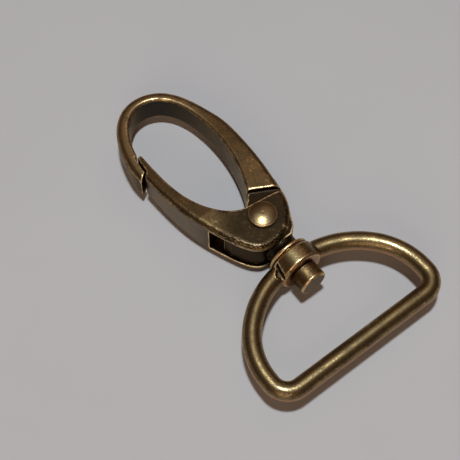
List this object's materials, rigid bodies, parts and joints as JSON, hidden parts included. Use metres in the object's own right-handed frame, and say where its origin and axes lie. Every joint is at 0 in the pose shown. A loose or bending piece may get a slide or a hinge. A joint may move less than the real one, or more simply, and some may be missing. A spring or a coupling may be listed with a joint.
{
  "type": "swivel snap hook",
  "caption": "Swivel snap hook with a sprung gate in a closed oval bow, on a D-ring for 25 mm webbing, antique brass finish.",
  "frame": {"origin": "centre of the bounding box, on the surface that the rivet tail stands on", "axes": "+Y along the swivel axis from the D-ring to the crown of the hook, +Z from the rivet tail to the rivet head, +X towards the fixed arm of the bow"},
  "size_m": [0.0332, 0.0565, 0.0089],
  "materials": {
    "antique_brass": "antiqued plating: dark brown in the recesses, rubbed golden edges, satin to polished",
    "worn_brass": "polished, lightly antiqued",
    "spring_steel": "drawn wire, plain"
  },
  "bodies": {
    "hook": {"hook_body": "antique_brass", "gate_rivet": "worn_brass", "gate_spring": "spring_steel", "swivel_stud": "antique_brass"},
    "gate": {"gate": "antique_brass"},
    "ring": {"d_ring": "antique_brass"}
  },
  "joints": [
    {"name": "gate_pivot", "type": "hinge", "parent": "hook", "child": "gate", "pos_m": [-0.0002, -0.00275, 0.00425], "axis": [0, 0, -1], "range_deg": [0, 28], "stiffness_Nm_per_rad": 0.03, "springref_deg": -34.38, "deforming": ["gate_spring"]},
    {"name": "ring_swivel", "type": "hinge", "parent": "hook", "child": "ring", "pos_m": [0, -0.01105, 0.00425], "axis": [0, 1, 0], "continuous": true}
  ]
}
